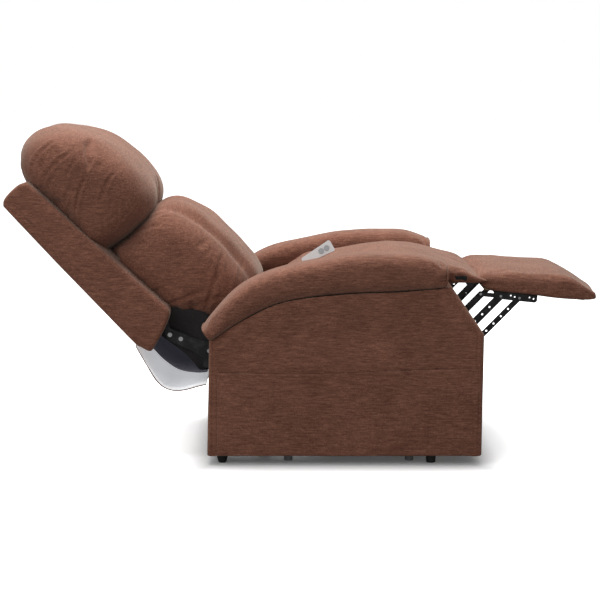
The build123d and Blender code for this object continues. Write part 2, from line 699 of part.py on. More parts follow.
def flap_pad():
    return soft(polygon([(276, 616), (352, 596), (404, 577), (294, 577)], 3), SEAT_HALF, 2)


def flap_brackets():
    hinge_end = [(300, 566), (276, 556), (277, 541), (300, 541), (318, 553)]
    bar_end = [(378, 548), (388, 531), (402, 530), (405, 540), (402, 556), (384, 566)]
    web = plate(hinge_end + bar_end, FLAP_WEB_Y, 3)
    web -= hole(FLAP_PIVOT, 4 + CLEAR)
    web += rod_y(FLAP_BAR_TOP, FLAP_BAR_Y[0], FLAP_WEB_Y[1], RIVET)
    flange = box((300, 384), (210, FLAP_WEB_Y[1]), (562.5, 565.5))
    return both(web + flange)


def footrest_nodes():
    bars = zip(("rear", "main", "front"), BAR_FEET, BAR_TOPS, BAR_WIDTHS)
    for name, foot_end, top_end, width in bars:
        save(f"{name}_foot_bars", both(linkage_bar(foot_end, top_end, width)))
    save("flap_bars", flap_links())
    save("footrest_cranks", footrest_cranks())
    save("crank_rivets", crank_pins())
    save("footrest_brackets", footrest_brackets())
    save("footrest_rivets", footrest_pins())
    save("footrest_board", footrest_board())
    save("footrest_pad", footrest_pad())
    save("flap_board", flap_board())
    save("flap_pad", flap_pad())
    save("flap_brackets", flap_brackets())


# ---- hand control ----------------------------------------------------------
HANDSET_LENGTH = 106.0
HANDSET_WIDTH = 39.0               # across the wide end
HANDSET_NARROW = 20.0
HANDSET_HALF_DEPTH = 9.0
HANDSET_CENTRE = (-80, -233, 634)
HANDSET_LEAN = 14.0                # face turned up from upright
HANDSET_RISE = 29.0                # wide end above the narrow end
KEY_RADIUS = 8.2
KEY_STATIONS = (13.4, 32.6)
KEY_GAP = 0.7
KEY_DEPTH = 5.0
TRUNNION = 1.0


def handset_plane():
    """Plane on the face of the handset with x towards its wide end."""
    lean, rise = math.radians(HANDSET_LEAN), math.radians(HANDSET_RISE)
    face = Vector(0, -math.cos(lean), math.sin(lean))
    upward = Vector(0, math.sin(lean), math.cos(lean))
    length = Vector(1, 0, 0) * math.cos(rise) + upward * math.sin(rise)
    return Plane(origin=HANDSET_CENTRE, x_dir=length, z_dir=face)


def handset_half(low, high):
    """One half of the tapered handset casing between two depths."""
    rear, front = -HANDSET_LENGTH / 2, HANDSET_LENGTH / 2
    narrow, wide = HANDSET_NARROW / 2, HANDSET_WIDTH / 2
    outline = polygon([(rear, -narrow), (front, -wide), (front, wide), (rear, narrow)], 6)
    return extrude(handset_plane().offset(low) * outline, amount=high - low)


def trunnion(station, radius, overhang):
    """Pin across the handset on which one key rocks."""
    plane = handset_plane()
    length = KEY_RADIUS + overhang
    depth = HANDSET_HALF_DEPTH - KEY_DEPTH / 2 + 1
    start = plane.from_local_coords((station, -length, depth))
    return extrude(Plane(start, x_dir=plane.x_dir, z_dir=plane.y_dir) * Circle(radius), amount=2 * length)


def handset_nodes():
    """Tapered hand control with two round rocker keys, standing beside the cushion."""
    face = handset_plane()
    key_low = HANDSET_HALF_DEPTH - KEY_DEPTH / 2 - 1.5
    front_half = handset_half(0, HANDSET_HALF_DEPTH)
    keys = []
    for station in KEY_STATIONS:
        well = face.offset(key_low - 1) * Pos(station, 0) * Circle(KEY_RADIUS + KEY_GAP)
        front_half -= extrude(well, amount=KEY_DEPTH + 2)
        front_half -= trunnion(station, TRUNNION + CLEAR, KEY_GAP + 1.8)
        key = extrude(face.offset(key_low) * Pos(station, 0) * Circle(KEY_RADIUS), amount=KEY_DEPTH)
        keys.append(key + trunnion(station, TRUNNION, KEY_GAP + 1.5))
    save("handset_back_shell", handset_half(-HANDSET_HALF_DEPTH, 0))
    save("handset_front_shell", front_half)
    save("back_key", keys[0])
    save("lift_key", keys[1])
    route = Spline((-60, -253, 592), (-62, -253, 480), (-58, -253, 330), (-60, -253, 204))
    save("handset_cable", sweep(Plane(route @ 0, z_dir=route % 0) * Circle(2.2), path=route))


base_nodes()
lift_nodes()
save("lift_frame", lift_frame())
save("chassis_pins", chassis_pins())
arm_nodes()
seat_nodes()
back_nodes()
footrest_nodes()
handset_nodes()
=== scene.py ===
import json
import math

import bmesh
import bpy
import numpy as np
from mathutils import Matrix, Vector


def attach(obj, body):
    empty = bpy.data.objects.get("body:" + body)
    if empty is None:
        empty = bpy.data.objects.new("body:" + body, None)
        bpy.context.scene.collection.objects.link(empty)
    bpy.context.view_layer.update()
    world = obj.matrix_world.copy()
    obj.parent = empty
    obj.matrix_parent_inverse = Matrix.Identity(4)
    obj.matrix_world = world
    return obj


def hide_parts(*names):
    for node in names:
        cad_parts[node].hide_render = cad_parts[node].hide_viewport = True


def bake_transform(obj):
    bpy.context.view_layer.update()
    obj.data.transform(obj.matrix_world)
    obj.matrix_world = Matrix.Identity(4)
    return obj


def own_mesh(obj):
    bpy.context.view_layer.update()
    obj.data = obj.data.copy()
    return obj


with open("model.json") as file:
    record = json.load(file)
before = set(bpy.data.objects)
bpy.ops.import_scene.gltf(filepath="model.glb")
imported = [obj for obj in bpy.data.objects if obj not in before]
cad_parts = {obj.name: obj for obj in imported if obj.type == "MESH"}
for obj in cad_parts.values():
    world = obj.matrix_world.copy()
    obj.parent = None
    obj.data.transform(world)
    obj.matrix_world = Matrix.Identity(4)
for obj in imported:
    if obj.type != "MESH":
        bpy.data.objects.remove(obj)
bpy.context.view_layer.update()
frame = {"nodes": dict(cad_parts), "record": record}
MM = 0.001


# ---------------------------------------------------------------- node helpers
class Shader:
    """Short calls for building one node material."""

    def __init__(self, name):
        self.material = bpy.data.materials.new(name)
        self.material.use_nodes = True
        self.tree = self.material.node_tree
        self.bsdf = self.tree.nodes["Principled BSDF"]

    def node(self, kind, **values):
        made = self.tree.nodes.new(kind)
        for key, value in values.items():
            if hasattr(made, key):
                setattr(made, key, value)
            else:
                made.inputs[key.replace("_", " ")].default_value = value
        return made

    def link(self, source, target):
        self.tree.links.new(source, target)

    def coords(self, scale, rotation=(0, 0, 0)):
        source = self.node("ShaderNodeTexCoord").outputs["Object"]
        turn = self.node("ShaderNodeMapping")
        turn.inputs["Rotation"].default_value = rotation
        self.link(source, turn.inputs["Vector"])
        stretch = self.node("ShaderNodeMapping")
        stretch.inputs["Scale"].default_value = scale
        self.link(turn.outputs["Vector"], stretch.inputs["Vector"])
        return stretch.outputs["Vector"]

    def noise(self, scale, rotation=(0, 0, 0), detail=3.0, rough=0.55):
        made = self.node("ShaderNodeTexNoise", Scale=1.0, Detail=detail, Roughness=rough)
        self.link(self.coords(scale, rotation), made.inputs["Vector"])
        return made.outputs["Fac"]

    def math(self, operation, first, second):
        made = self.node("ShaderNodeMath", operation=operation)
        for slot, value in zip(made.inputs, (first, second)):
            if isinstance(value, (int, float)):
                slot.default_value = value
            else:
                self.link(value, slot)
        return made.outputs[0]

    def ramp(self, fac, stops):
        made = self.node("ShaderNodeValToRGB")
        elements = made.color_ramp.elements
        while len(elements) < len(stops):
            elements.new(0.5)
        for element, (place, colour) in zip(elements, stops):
            element.position = place
            element.color = (*colour, 1.0)
        self.link(fac, made.inputs["Fac"])
        return made.outputs["Color"]

    def mix(self, fac, first, second, blend="MIX"):
        made = self.node("ShaderNodeMix", data_type="RGBA", blend_type=blend)
        for slot, value in zip((made.inputs[0], made.inputs[6], made.inputs[7]), (fac, first, second)):
            if isinstance(value, (int, float)):
                slot.default_value = value
            elif isinstance(value, tuple):
                slot.default_value = (*value, 1.0)
            else:
                self.link(value, slot)
        return made.outputs[2]

    def bump(self, height, strength, distance):
        made = self.node("ShaderNodeBump", Strength=strength, Distance=distance)
        self.link(height, made.inputs["Height"])
        self.link(made.outputs["Normal"], self.bsdf.inputs["Normal"])

    def set(self, **values):
        for key, value in values.items():
            self.bsdf.inputs[key.replace("_", " ")].default_value = value


# ------------------------------------------------------------------- materials
def chenille(name, fixed=False):
    """Brown chenille with slubs along X on surfaces that face sideways and along Y elsewhere.

    fixed keeps the slubs along X everywhere, as on the arms.
    """
    s = Shader(name)

    def weave(order):
        """Long slubs, finer yarn and the cross threads; order turns (along, across) into XYZ scales."""
        slub = s.noise(order(26, 250), detail=3.0, rough=0.6)
        yarn = s.noise(order(85, 760), detail=2.0, rough=0.5)
        cross = s.noise(order(640, 150), detail=2.0, rough=0.5)
        total = s.math("ADD", s.math("MULTIPLY", slub, 0.40), s.math("MULTIPLY", yarn, 0.33))
        return s.math("ADD", total, s.math("MULTIPLY", cross, 0.27))

    pattern = weave(lambda along, across: (along, across, across))
    if not fixed:
        facing = s.node("ShaderNodeTexCoord").outputs["Normal"]
        split = s.node("ShaderNodeSeparateXYZ")
        s.link(facing, split.inputs[0])
        sideways = s.math("ABSOLUTE", split.outputs["Y"], 0)
        fac = s.ramp(sideways, [(0.50, (0, 0, 0)), (0.72, (1, 1, 1))])
        pattern = s.mix(fac, weave(lambda along, across: (across, along, across)), pattern)
    nap = s.noise((9, 9, 9), detail=4.0, rough=0.6)
    dark, middle, light = ((0.088, 0.034, 0.024), (0.190, 0.081, 0.054), (0.350, 0.168, 0.110))
    colour = s.ramp(pattern, [(0.34, dark), (0.50, middle), (0.68, light)])
    worn = s.ramp(nap, [(0.35, (0.88, 0.86, 0.85)), (0.68, (1.10, 1.09, 1.08))])
    colour = s.mix(1.0, colour, worn, "MULTIPLY")
    s.link(colour, s.bsdf.inputs["Base Color"])
    s.bump(pattern, 0.6, 0.0016)
    s.set(Roughness=0.95, Sheen_Weight=0.30, Sheen_Roughness=0.45, Sheen_Tint=(0.92, 0.86, 0.74, 1))
    s.bsdf.inputs["Specular IOR Level"].default_value = 0.15
    return s.material


def steel_paint():
    """Black powder coat with a fine orange-peel and rubbed edges."""
    s = Shader("black_powder_coat")
    grain = s.noise((900, 900, 900), detail=2.0)
    wear = s.noise((38, 38, 38), detail=5.0)
    colour = s.ramp(wear, [(0.45, (0.012, 0.012, 0.013)), (0.72, (0.045, 0.045, 0.047))])
    s.link(colour, s.bsdf.inputs["Base Color"])
    s.link(s.math("ADD", s.math("MULTIPLY", wear, 0.25), 0.30), s.bsdf.inputs["Roughness"])
    s.bump(grain, 0.25, 0.0004)
    s.set(Metallic=0.35)
    return s.material


def bright_metal(name, tone, along=(700, 30, 700)):
    """Zinc-bright steel with drawn scratches."""
    s = Shader(name)
    scratch = s.noise(along, detail=3.0)
    colour = s.ramp(scratch, [(0.3, tuple(0.75 * c for c in tone)), (0.7, tone)])
    s.link(colour, s.bsdf.inputs["Base Color"])
    s.link(s.math("ADD", s.math("MULTIPLY", scratch, 0.25), 0.2), s.bsdf.inputs["Roughness"])
    s.bump(scratch, 0.15, 0.0003)
    s.set(Metallic=1.0)
    return s.material


def moulded(name, tone, rough, grain=900.0):
    """Moulded plastic or rubber with a spark-eroded grain."""
    s = Shader(name)
    fine = s.noise((grain, grain, grain), detail=2.0)
    cloud = s.noise((14, 14, 14), detail=3.0)
    colour = s.ramp(cloud, [(0.3, tuple(0.93 * c for c in tone)), (0.7, tone)])
    s.link(colour, s.bsdf.inputs["Base Color"])
    s.link(s.math("ADD", s.math("MULTIPLY", fine, 0.15), rough - 0.07), s.bsdf.inputs["Roughness"])
    s.bump(fine, 0.2, 0.0003)
    return s.material


def timber():
    """Sanded hardwood board with long grain."""
    s = Shader("frame_timber")
    grain = s.noise((9, 120, 120), detail=5.0, rough=0.6)
    colour = s.ramp(grain, [(0.3, (0.30, 0.18, 0.09)), (0.7, (0.56, 0.40, 0.24))])
    s.link(colour, s.bsdf.inputs["Base Color"])
    s.bump(grain, 0.3, 0.0006)
    s.set(Roughness=0.65)
    return s.material


def lining(name, low, high, rough=0.85, painted_glow=0.0):
    """Spun non-woven cloth used for dust covers and linings, with an emission in its own colour: a painted
    glow that stands in for light passing through the thin cloth.
    """
    s = Shader(name)
    fibre = s.noise((160, 160, 160), detail=4.0)
    colour = s.ramp(fibre, [(0.3, low), (0.7, high)])
    s.link(colour, s.bsdf.inputs["Base Color"])
    s.bump(fibre, 0.35, 0.0006)
    # Emission in the cloth's own colour: a painted glow, since the cloth is no lamp.
    s.link(colour, s.bsdf.inputs["Emission Color"])
    s.set(Roughness=rough, Sheen_Weight=0.15, Emission_Strength=painted_glow)
    return s.material


MATERIALS = {
    "fabric_x": chenille("chenille_lengthwise", fixed=True),
    "fabric_y": chenille("chenille_crosswise"),
    "black_steel": steel_paint(),
    "bright_steel": bright_metal("zinc_steel", (0.62, 0.62, 0.64)),
    "spring_wire": bright_metal("spring_wire", (0.34, 0.34, 0.36)),
    "motor_tube": bright_metal("actuator_tube", (0.72, 0.72, 0.74)),
    "black_plastic": moulded("black_plastic", (0.018, 0.018, 0.019), 0.5),
    "grey_plastic": moulded("grey_glide", (0.30, 0.30, 0.31), 0.55),
    "cable_rubber": moulded("cable_rubber", (0.014, 0.014, 0.015), 0.6),
    "timber": timber(),
    "white_plastic": moulded("handset_white", (0.80, 0.81, 0.81), 0.32, 500.0),
    "grey_rubber": moulded("key_grey", (0.42, 0.45, 0.47), 0.5),
    # Both linings below emit light: a painted glow in place of light passing through the cloth.
    "pale_lining": lining("pale_lining", (0.80, 0.82, 0.84), (0.92, 0.93, 0.95), painted_glow=0.42),
    "dust_cloth": lining("dust_cloth", (0.030, 0.030, 0.042), (0.060, 0.060, 0.080), painted_glow=0.4),
    "black_cloth": lining("black_cloth", (0.006, 0.005, 0.006), (0.016, 0.013, 0.013)),
}


# ------------------------------------------------------------ geometry helpers
def curve_points(points, count, closed=False):
    """Evenly spaced points on a Catmull-Rom curve through the given ones."""
    p = np.array(points, float)
    if closed:
        ext = np.vstack([p[-1], p, p[0], p[1]])
    else:
        ext = np.vstack([2 * p[0] - p[1], p, 2 * p[-1] - p[-2]])
    dense = []
    t = np.linspace(0, 1, 40, endpoint=False)[:, None]
    for a, b, c, d in zip(ext[:-3], ext[1:-2], ext[2:-1], ext[3:]):
        bend = 2 * a - 5 * b + 4 * c - d
        twist = 3 * b - a - 3 * c + d
        dense.append(0.5 * (2 * b + (c - a) * t + bend * t**2 + twist * t**3))
    dense = np.vstack(dense + [ext[-2][None]])
    step = np.linalg.norm(np.diff(dense, axis=0), axis=1)
    length = np.concatenate([[0], np.cumsum(step)])
    at = np.linspace(0, length[-1], count, endpoint=not closed)
    return np.stack([np.interp(at, length, dense[:, i]) for i in range(p.shape[1])], 1)


def build(name, verts, faces, material):
    """A smooth-shaded object from vertices in millimetres."""
    mesh = bpy.data.meshes.new(name)
    mesh.from_pydata((np.asarray(verts) * MM).tolist(), [], faces)
    obj = bpy.data.objects.new(name, mesh)
    bpy.context.scene.collection.objects.link(obj)
    bm = bmesh.new()
    bm.from_mesh(mesh)
    bmesh.ops.remove_doubles(bm, verts=bm.verts, dist=0.00002)
    bmesh.ops.recalc_face_normals(bm, faces=bm.faces)
    bm.to_mesh(mesh)
    bm.free()
    mesh.polygons.foreach_set("use_smooth", [True] * len(mesh.polygons))
    mesh.materials.append(MATERIALS[material])
    return obj


def join_rings(lower, upper, count, wrap=True):
    """Quads between two rows of count vertices that start at the indices lower and upper."""
    last = count if wrap else count - 1
    return [(lower + c, lower + (c + 1) % count, upper + (c + 1) % count, upper + c) for c in range(last)]


def grid_faces(rows, columns, wrap=False):
    """Quads of a grid of rows by columns, with the columns joined round if wrap."""
    faces = []
    for r in range(rows - 1):
        faces += join_rings(r * columns, (r + 1) * columns, columns, wrap)
    return faces


def close_ends(verts, faces, columns):
    """Close the first and last ring of a tube of rings with a fan of triangles."""
    first, last = len(verts), len(verts) + 1
    base = first - columns
    verts = np.vstack([verts, verts[:columns].mean(axis=0), verts[base:].mean(axis=0)])
    faces = faces + [(first, (c + 1) % columns, c) for c in range(columns)]
    faces += [(last, base + c, base + (c + 1) % columns) for c in range(columns)]
    return verts, faces


def read(obj):
    """Vertex places and normals of an object, in millimetres."""
    mesh = obj.data
    places = np.empty(len(mesh.vertices) * 3)
    mesh.vertices.foreach_get("co", places)
    normals = np.empty(len(mesh.vertices) * 3)
    mesh.vertices.foreach_get("normal", normals)
    return places.reshape(-1, 3) / MM, normals.reshape(-1, 3)


def write(obj, places):
    """Move an object's vertices to places in millimetres."""
    obj.data.vertices.foreach_set("co", (places * MM).ravel())
    obj.data.update()


def modify(obj, kind, **values):
    """Add a modifier and apply it at once."""
    made = obj.modifiers.new(kind.lower(), kind)
    for key, value in values.items():
        setattr(made, key, value)
    apply_modifiers(obj)


def apply_modifiers(obj):
    """Replace an object's mesh by its evaluated one."""
    graph = bpy.context.evaluated_depsgraph_get()
    mesh = bpy.data.meshes.new_from_object(obj.evaluated_get(graph))
    obj.modifiers.clear()
    old = obj.data
    obj.data = mesh
    bpy.data.meshes.remove(old)
    mesh.polygons.foreach_set("use_smooth", [True] * len(mesh.polygons))


def subdivide(obj):
    modify(obj, "SUBSURF", levels=1, render_levels=1)


def smooth_field(places, scale, seed):
    """A smooth random field between about -1 and 1 with the given feature size in mm."""
    rng = np.random.default_rng(seed)
    total = np.zeros(len(places))
    for _ in range(9):
        way = rng.normal(size=3)
        way /= np.linalg.norm(way)
        pace = 2 * math.pi / (scale * rng.uniform(0.7, 1.6))
        total += np.sin(places @ way * pace + rng.uniform(0, 6.28))
    return total / 4.0


def distance_to(places, line):
    """Distance from each place to a polyline, and how far along it (0 to 1)."""
    line = np.asarray(line, float)
    best = np.full(len(places), 1e9)
    where = np.zeros(len(places))
    steps = np.linalg.norm(np.diff(line, axis=0), axis=1)
    start = np.concatenate([[0], np.cumsum(steps)])
    for a, b, s0, step in zip(line[:-1], line[1:], start, steps):
        t = np.clip(((places - a) @ (b - a)) / max(step**2, 1e-9), 0, 1)
        d = np.linalg.norm(places - (a + t[:, None] * (b - a)), axis=1)
        near = d < best
        best[near] = d[near]
        where[near] = (s0 + t[near] * step) / start[-1]
    return best, where


def crease(obj, line, width, depth, ridge=0.35, fade=True):
    """Press a groove of the given width and depth along a polyline, with soft ridges beside it."""
    places, normals = read(obj)
    low = np.min(line, axis=0) - 5 * width
    high = np.max(line, axis=0) + 5 * width
    near = np.all((places > low) & (places < high), axis=1)
    if not near.any():
        return
    d, along = distance_to(places[near], line)
    groove = np.exp(-((d / width) ** 2))
    shoulder = np.exp(-(((d - 2.2 * width) / (1.2 * width)) ** 2))
    amount = depth * (ridge * shoulder - groove)
    if fade:
        amount *= np.clip(np.sin(math.pi * along) * 2.2, 0, 1)
    places[near] += normals[near] * amount[:, None]
    write(obj, places)


def ripple(obj, size, height, seed):
    """Loose, uneven stuffing: push the surface in and out by a smooth field."""
    places, normals = read(obj)
    write(obj, places + normals * (smooth_field(places, size, seed) * height)[:, None])


def loft(name, outline, half, material, centre, square, dome, lift=None, spacing=10.0):
    """A cushion: an XZ outline carried across Y and drawn in about centre to rounded, domed ends.

    square sets how boxy the ends are, dome how far their middles stand out, and lift is
    a function of (points, y) that reshapes the section across the width.
    """
    radius = np.linalg.norm(outline - centre, axis=1).mean()
    theta = np.linspace(0, math.pi / 2, 400)
    across = np.sin(theta) ** square
    shrink = np.cos(theta) ** square
    steps = np.hypot(np.diff(across) * (half - dome), np.diff(shrink) * radius)
    track = np.concatenate([[0], np.cumsum(steps)])
    count = int(track[-1] / spacing)
    at = np.linspace(0, track[-1], count)
    across, shrink = np.interp(at, track, across), np.interp(at, track, shrink)
    ys = np.concatenate([-across[::-1], across[1:]])
    ks = np.concatenate([shrink[::-1], shrink[1:]])
    verts = []
    for y, k in zip(ys, np.maximum(ks, 0.012)):
        ring = centre + (outline - centre) * k
        depth = y * (half - dome) + math.copysign(dome * (1 - k**2), y)
        if lift is not None:
            ring = lift(ring, depth)
        verts.append(np.stack([ring[:, 0], np.full(len(ring), depth), ring[:, 1]], 1))
    faces = grid_faces(len(ys), len(outline), wrap=True)
    verts, faces = close_ends(np.vstack(verts), faces, len(outline))
    return build(name, verts, faces, material)


def outward(outline):
    """Unit normals that point out of a closed XZ outline."""
    way = np.roll(outline, -1, axis=0) - np.roll(outline, 1, axis=0)
    way /= np.linalg.norm(way, axis=1, keepdims=True)
    normal = np.stack([way[:, 1], -way[:, 0]], 1)
    area = np.sum(outline[:, 0] * np.roll(outline[:, 1], -1) - np.roll(outline[:, 0], -1) * outline[:, 1])
    return normal if area > 0 else -normal


def boxed(name, outline, half, radius, material, centre, crown, spacing=12.0):
    """An XZ outline carried straight across Y, with rounded side edges and nearly flat ends."""
    normal = outward(outline)
    flat = half - radius
    rows = [(0.0, 0.0, y) for y in np.linspace(0, flat, int(flat / spacing) + 1)]
    turn = np.linspace(0, 1.45, 6)[1:]
    rows += [(radius * (1 - math.cos(a)), 0.0, flat + radius * math.sin(a)) for a in turn]
    inset, _, end = rows[-1]
    rows += [(inset, f, end + crown * f * (2 - f)) for f in np.linspace(0, 0.985, 11)[1:]]
    rows = [(d, f, -y) for d, f, y in rows[::-1]] + rows[1:]
    verts = []
    for d, f, y in rows:
        ring = outline - normal * d
        ring = ring + (centre - ring) * f
        verts.append(np.stack([ring[:, 0], np.full(len(ring), y), ring[:, 1]], 1))
    faces = grid_faces(len(rows), len(outline), wrap=True)
    verts, faces = close_ends(np.vstack(verts), faces, len(outline))
    return build(name, verts, faces, material)


UNDER_CORNER = 0.35                # lower corner radius of a pad as a share of the upper one


def section_ring(half, low, high, radius, count):
    """Evenly spaced points round a rectangle in YZ whose lower corners are sharper than its upper ones."""
    height = high - low
    top = min(radius, 0.49 * height, half)
    under = UNDER_CORNER * top
    points = []
    for side, r, z, start in ((1, top, high - top, 0), (-1, top, high - top, 90),
                              (-1, under, low + under, 180), (1, under, low + under, 270)):
        for a in np.radians(np.linspace(start, start + 90, 12)):
            points.append((side * (half - r) + r * math.cos(a), z + r * math.sin(a)))
    points = np.array(points + points[:1])
    step = np.linalg.norm(np.diff(points, axis=0), axis=1)
    length = np.concatenate([[0], np.cumsum(step)])
    at = np.linspace(0, length[-1], count, endpoint=False)
    return np.stack([np.interp(at, length, points[:, 0]), np.interp(at, length, points[:, 1])], 1)


def beam(name, stations, count, material, spacing=11.0, bow=0.0):
    """A pad closed at both ends, from side-view stations.

    Each station is (x, low, high, half width, edge radius, crown), and bow moves the
    middle of the front end forward.
    """
    stations = np.asarray(stations, float)
    steps = np.hypot(np.diff(stations[:, 0]), np.diff(stations[:, 2]))
    length = np.concatenate([[0], np.cumsum(steps)])
    at = np.linspace(0, length[-1], int(length[-1] / spacing) + 1)
    dense = np.stack([np.interp(at, length, stations[:, i]) for i in range(stations.shape[1])], 1)
    for _ in range(2):
        dense[1:-1] = 0.25 * dense[:-2] + 0.5 * dense[1:-1] + 0.25 * dense[2:]
    rings = []
    for x, low, high, half, radius, crown in dense:
        ring = section_ring(half, low, high, radius, count)
        share = np.clip((ring[:, 1] - low) / max(high - low, 1), 0, 1)
        inward = 1 - (ring[:, 0] / half) ** 2
        forward = np.clip((x - stations[0, 0]) / np.ptp(stations[:, 0]), 0, 1)
        xs = x + bow * inward * forward**3
        rings.append(np.stack([xs, ring[:, 0], ring[:, 1] + crown * share * inward], 1))
    points = np.vstack(rings)
    faces = grid_faces(len(rings), count, wrap=True)
    for base in (0, len(points) - count):
        points, faces = close_flat(points, faces, base, count)
    return build(name, points, faces, material)


def close_flat(points, faces, base, count):
    """Close the ring that starts at index base: flatten it in steps, then bridge its top to its bottom."""
    ring = points[base:base + count]
    flat = ring.copy()
    flat[:, 2] = ring[:, 2].mean()
    previous = base
    for share in (0.3, 0.6, 0.9):
        start = len(points)
        points = np.vstack([points, ring + (flat - ring) * share])
        faces = faces + join_rings(previous, start, count)
        previous = start
    order = [(count // 4 + k) % count for k in range(count)]
    for k in range(count // 2):
        corners = (order[k], order[k + 1], order[-k - 1], order[-k])
        face = [previous + corner for corner in dict.fromkeys(corners)]
        if len(face) > 2:
            faces.append(tuple(face))
    return points, faces


CLOTH_FRAMES = 20
CLOTH_STIFFNESS = 8.0


def inflate(obj, pinned, pressure, slack, cap):
    """Blow the cover up as cloth, then hold each point within cap of its start.

    pinned tells which of the places given to it belong to seams, and these stay put.
    """
    before, _ = read(obj)
    group = obj.vertex_groups.new(name="seams")
    group.add(np.nonzero(pinned(before))[0].tolist(), 1.0, "REPLACE")
    cloth = obj.modifiers.new("cloth", "CLOTH")
    settings = cloth.settings
    settings.quality = 6
    settings.mass = 0.25
    settings.tension_stiffness = CLOTH_STIFFNESS
    settings.compression_stiffness = CLOTH_STIFFNESS
    settings.shear_stiffness = CLOTH_STIFFNESS / 2
    settings.bending_stiffness = 0.6
    settings.air_damping = 2.0
    settings.use_pressure = True
    settings.uniform_pressure_force = pressure
    settings.shrink_min = -slack
    settings.vertex_group_mass = "seams"
    settings.effector_weights.gravity = 0.0
    cloth.collision_settings.use_collision = False
    cloth.collision_settings.use_self_collision = False
    cloth.point_cache.frame_start = 1
    cloth.point_cache.frame_end = CLOTH_FRAMES
    scene = bpy.context.scene
    scene.frame_start, scene.frame_end = 1, CLOTH_FRAMES
    for step in range(1, CLOTH_FRAMES + 1):
        scene.frame_set(step)
    apply_modifiers(obj)
    scene.frame_set(1)
    after, _ = read(obj)
    move = after - before
    size = np.linalg.norm(move, axis=1, keepdims=True)
    write(obj, before + move * np.minimum(1, cap / np.maximum(size, 1e-6)))
    obj.vertex_groups.clear()


def cord_loop(name, line, radius, material, sides=10):
    """A closed cord round a 3-D loop, for piping."""
    ways = np.roll(line, -1, axis=0) - np.roll(line, 1, axis=0)
    ways /= np.linalg.norm(ways, axis=1, keepdims=True)
    verts = []
    side = np.cross(ways[0], (0.0, 0.0, 1.0) if abs(ways[0][2]) < 0.9 else (1.0, 0.0, 0.0))
    for point, way in zip(line, ways):
        side = side - way * (side @ way)
        side /= np.linalg.norm(side)
        other = np.cross(way, side)
        for k in range(sides):
            a = 2 * math.pi * k / sides
            verts.append(point + radius * (math.cos(a) * side + math.sin(a) * other))
    faces = grid_faces(len(line), sides, wrap=True) + join_rings((len(line) - 1) * sides, 0, sides)
    return build(name, verts, faces, material)


def dress(piece, body, *nodes):
    """Put a fabric piece on a body, in place of the CAD nodes that it covers."""
    if nodes:
        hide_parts(*nodes)
    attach(piece, body)


# ------------------------------------------------------------- the shape lines
ARM_SEAM = [(-399, 384), (-330, 430), (-224, 485), (-134, 509), (16, 524), (166, 530), (304, 542)]
ARM_CREST = [(-431, 426), (-332, 534), (-225, 592), (-34, 636), (54, 646), (143, 648), (231, 643),
             (313, 619)]
PANEL_REAR, PANEL_FRONT, PANEL_LOW = -419.0, 423.0, 29.0
PANEL_CORNER = 14.0                # radius of the side panel's upright corners
CHAMFER_LOW, CHAMFER_HIGH = (425.0, 405.0), (321.0, 556.0)
ARM_IN, ARM_OUT = 257.5, 400.0
ROLL_OVER = 22.0                   # how far the arm pad stands out past the side panel
ROLL_CENTRE = (ARM_IN + ARM_OUT + ROLL_OVER) / 2
ROLL_HALF = (ARM_OUT + ROLL_OVER - ARM_IN) / 2
POCKET_REAR, POCKET_FRONT, POCKET_LOW = -386.0, 408.0, 31.0
POCKET_HEM = [(-371, 289), (-134, 286), (169, 295), (397, 305)]
BACK_CORNER = np.array([-598.0, 341.0])
UP_BACK = np.array([-0.695, 0.719])
OFF_BACK = np.array([0.719, 0.695])
FOOT_CORNER = np.array([440.0, 520.0])
FOOT_TILT = math.radians(-6.0)
FOOT_FORWARD = np.array([math.cos(FOOT_TILT), math.sin(FOOT_TILT)])
FOOT_UP = np.array([-math.sin(FOOT_TILT), math.cos(FOOT_TILT)])


def back_point(s, t):
    """XZ point of the back: s up the shell from its lower rear corner, t forward."""
    return BACK_CORNER + s * UP_BACK + t * OFF_BACK


SEAM_LINE = curve_points(ARM_SEAM, 160)


def seam_height(x):
    """Height of the seam under the arm pad."""
    return np.interp(x, SEAM_LINE[:, 0], SEAM_LINE[:, 1])


# ------------------------------------------------------------------------ arms
def rear_edge(z):
    """X of the side panel's rear edge at height z."""
    return PANEL_REAR + 9.0 * np.clip((z - PANEL_LOW) / 357.0, 0, 1)


def front_edge(z):
    """X of the side panel's front edge at height z, upright at first and then chamfered."""
    low = PANEL_FRONT + 2.0 * np.clip((z - PANEL_LOW) / 376.0, 0, 1)
    slope = (CHAMFER_HIGH[0] - CHAMFER_LOW[0]) / (CHAMFER_HIGH[1] - CHAMFER_LOW[1])
    return np.where(z > CHAMFER_LOW[1], CHAMFER_LOW[0] + slope * (z - CHAMFER_LOW[1]), low)


def panel_x(kind, value, z):
    """X of a side panel's column: value is an inset from the rear or front edge, or a share of the side."""
    rear, front = float(rear_edge(z)), float(front_edge(z))
    if kind == "rear":
        return rear + value
    if kind == "front":
        return front - value
    return rear + PANEL_CORNER + value * (front - rear - 2 * PANEL_CORNER)


